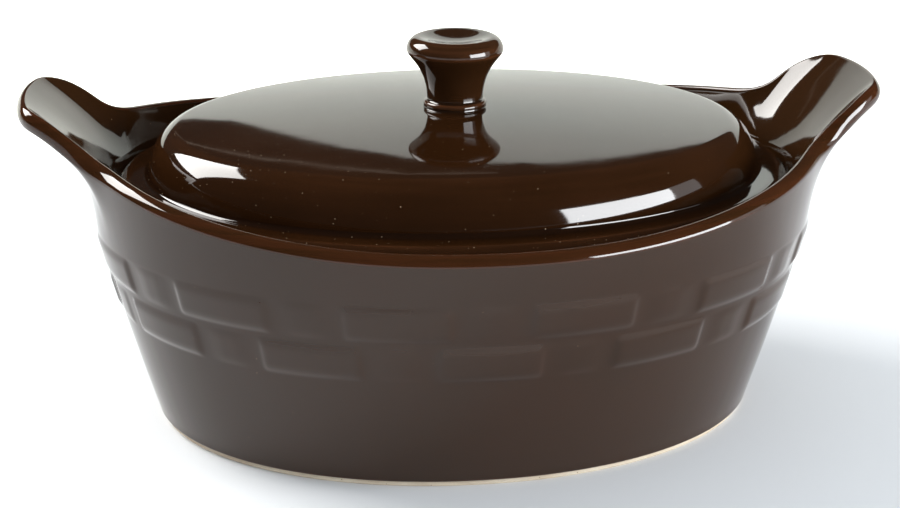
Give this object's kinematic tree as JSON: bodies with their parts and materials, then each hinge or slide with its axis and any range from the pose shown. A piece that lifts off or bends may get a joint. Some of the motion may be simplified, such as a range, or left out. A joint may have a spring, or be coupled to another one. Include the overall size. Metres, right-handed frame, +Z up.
{
  "type": "covered casserole dish",
  "caption": "Oval stoneware casserole with ear handles, a raised woven band and a loose domed lid with a turned knob, for baking and serving.",
  "frame": {"origin": "on the table, under the middle of the dish", "axes": "+X along the length through both ears, +Y across, +Z up through the knob"},
  "size_m": [0.3166, 0.2184, 0.141],
  "materials": {
    "dish_glaze": "gloss dark brown glaze",
    "lid_glaze": "gloss dark brown glaze",
    "knob_glaze": "gloss dark brown glaze",
    "bare_clay": "matt unglazed cream clay"
  },
  "bodies": {
    "dish": {"dish": "dish_glaze", "foot_ring": "bare_clay"},
    "lid": {"lid": "lid_glaze", "knob": "knob_glaze"}
  },
  "joints": [
    {"name": "lid_lift", "type": "slide", "parent": "dish", "child": "lid", "axis": [0, 0, 1], "range_m": [0, 0.12]}
  ]
}
